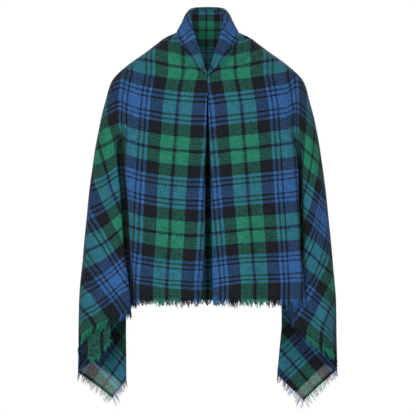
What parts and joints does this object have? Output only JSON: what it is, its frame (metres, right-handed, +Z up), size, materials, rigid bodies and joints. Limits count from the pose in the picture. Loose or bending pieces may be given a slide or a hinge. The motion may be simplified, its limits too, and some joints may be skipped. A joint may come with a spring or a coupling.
{
  "type": "poncho",
  "caption": "Fringed tartan blanket poncho hanging as worn with no wearer: open front, rolled collar, cloth draped over the arms to a hanging corner at each hand.",
  "frame": {"origin": "between the shoulders, where the wearer's shoulders and neck hold the poncho up", "axes": "+Z up, the front faces -Y, +X towards the wearer's left"},
  "size_m": [0.5953, 0.2305, 0.915],
  "materials": {
    "tartan": "brushed twill, matt",
    "fringe": "loose yarn, matt"
  },
  "bodies": {
    "root": {"back": "tartan", "collar_back": "tartan", "collar_inside": "tartan", "collar_left": "tartan", "collar_right": "tartan", "corner_left": "tartan", "corner_right": "tartan", "fringe_back": "fringe", "fringe_corner_left": "fringe", "fringe_corner_right": "fringe", "fringe_front_left": "fringe", "fringe_front_right": "fringe", "fringe_pleat_right": "fringe", "fringe_sleeve_left": "fringe", "fringe_sleeve_right": "fringe", "front_left": "tartan", "front_right": "tartan", "pleat_right": "tartan", "sleeve_left_back": "tartan", "sleeve_left_front": "tartan", "sleeve_right_back": "tartan", "sleeve_right_front": "tartan"}
  },
  "joints": []
}
